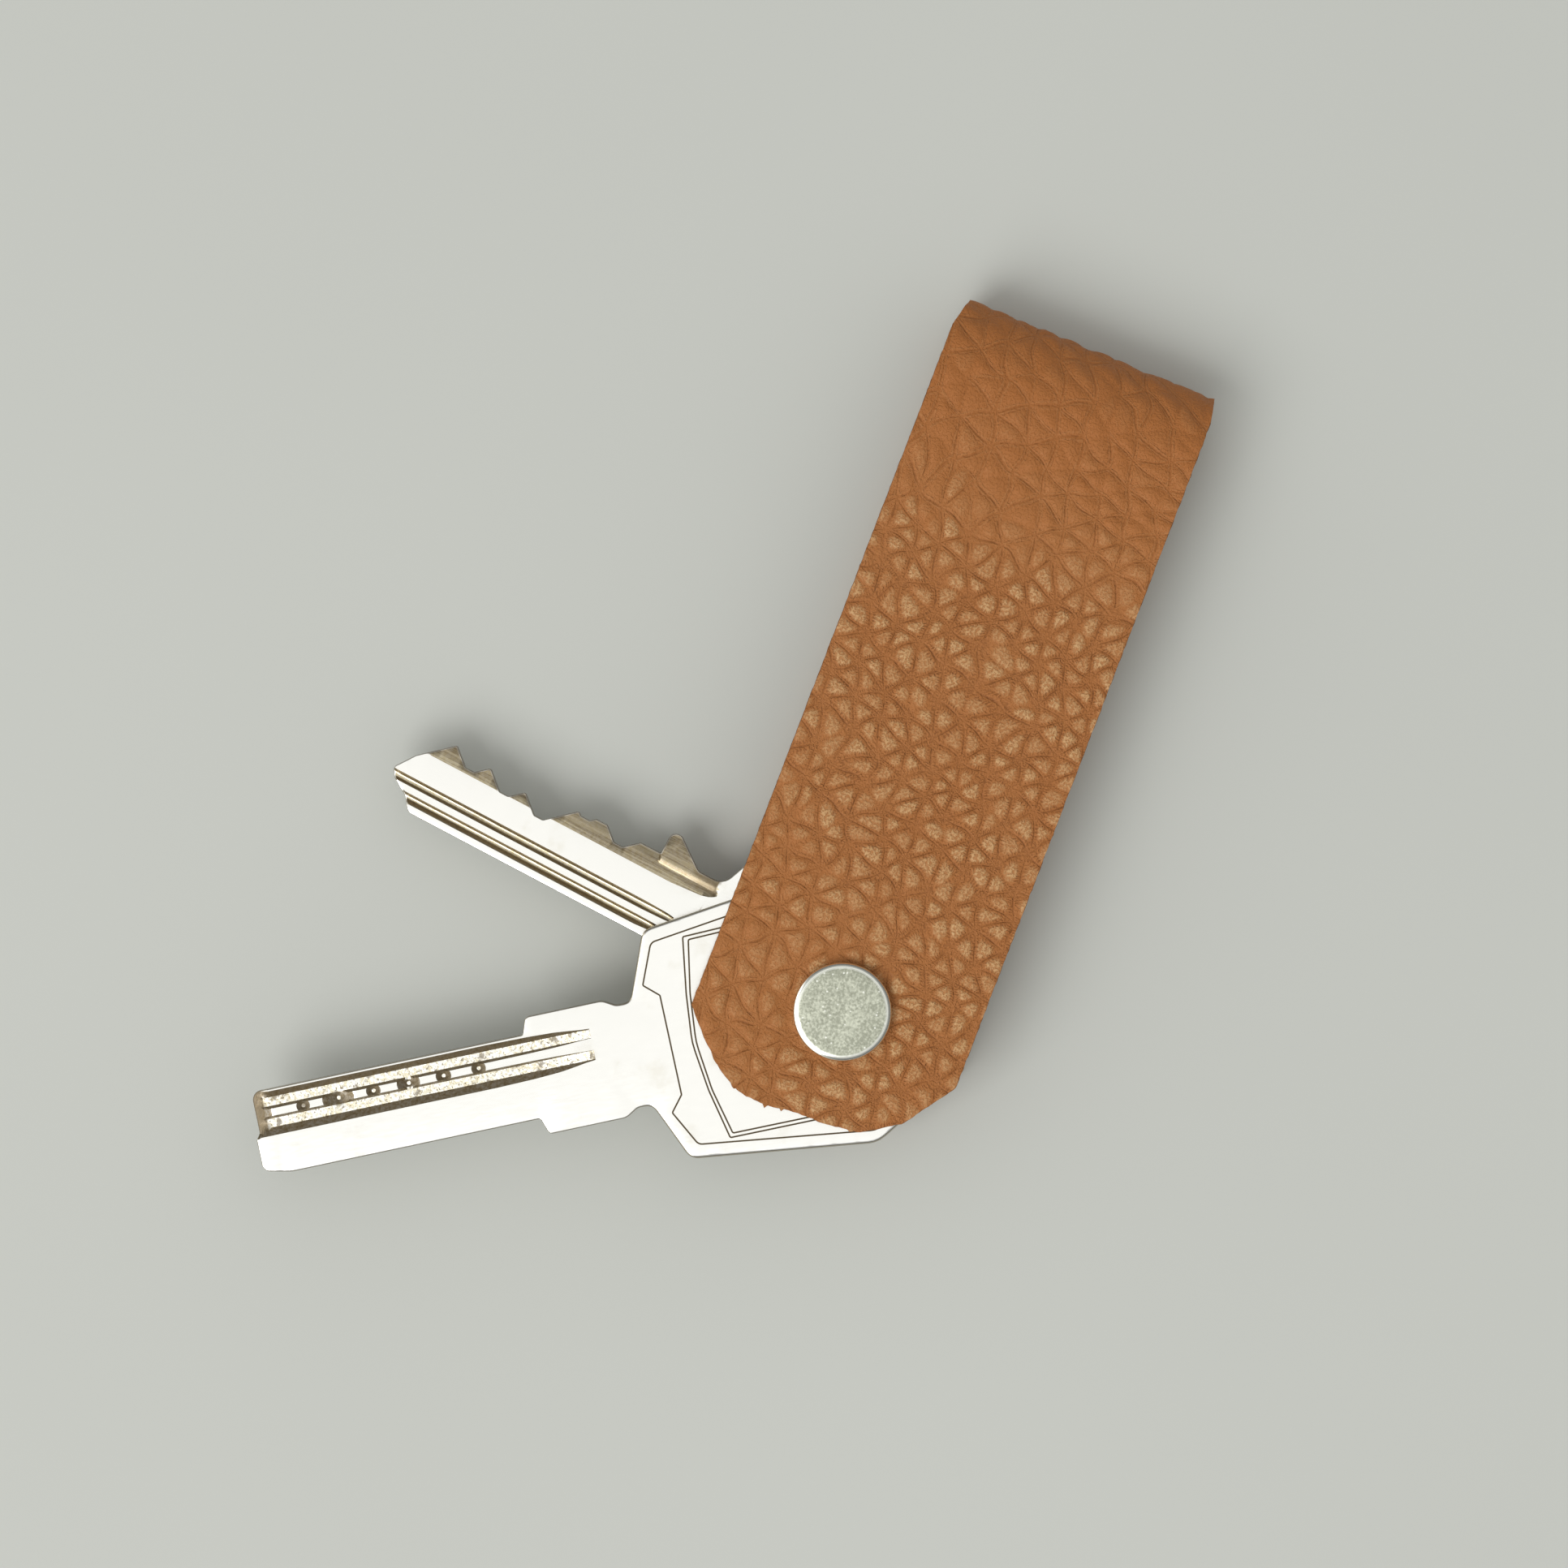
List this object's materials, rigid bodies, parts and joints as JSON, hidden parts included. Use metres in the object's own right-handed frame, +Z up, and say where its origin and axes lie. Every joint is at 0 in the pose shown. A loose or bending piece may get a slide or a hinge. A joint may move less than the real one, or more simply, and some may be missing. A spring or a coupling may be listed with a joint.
{
  "type": "strap keychain",
  "caption": "Folded leather strap loop whose trimmed ends are pinned by a binding post and screw, with keys that swing out on the post from between the leaves.",
  "frame": {"origin": "The middle of the flat stretch of the strap's underside that lies on the table, on the strap's centre line.", "axes": "+X runs along the strap from the binding post to the fold, +Z is up from the table through the stack, and +Y is to the left of +X seen from above, the side on which the keys are swung out."},
  "size_m": [0.1085, 0.0666, 0.0115],
  "materials": {
    "leather": "tan pebble-grained leather with a soft sheen",
    "nickel": "satin nickel plate, finely pitted",
    "key_metal": "bright nickel-plated brass, worn to brass in the milled grooves"
  },
  "bodies": {
    "strap": {"leather_strap": "leather"},
    "post": {"binding_post": "nickel"},
    "screw": {"binding_screw": "nickel"},
    "upper_key": {"dimple_key": "key_metal"},
    "lower_key": {"cut_key": "key_metal"}
  },
  "joints": [
    {"name": "dimple_key_swing", "type": "hinge", "parent": "strap", "child": "upper_key", "pos_m": [-0.041, -0.0005, 0.00695], "axis": [0, 0, 1], "continuous": true},
    {"name": "cut_key_swing", "type": "hinge", "parent": "strap", "child": "lower_key", "pos_m": [-0.041, -0.0005, 0.0045], "axis": [0, 0, 1], "continuous": true},
    {"name": "screw_turn", "type": "hinge", "parent": "strap", "child": "screw", "pos_m": [-0.041, -0.0005, 0.0005], "axis": [0, 0, -1], "range_deg": [0, 2885]},
    {"name": "post_lift", "type": "slide", "parent": "strap", "child": "post", "axis": [0, 0, 1], "range_m": [0, 0.0056]}
  ],
  "couplings": [
    {"joint": "screw_turn", "follows": "post_lift", "rad_per_m": 8976}
  ]
}
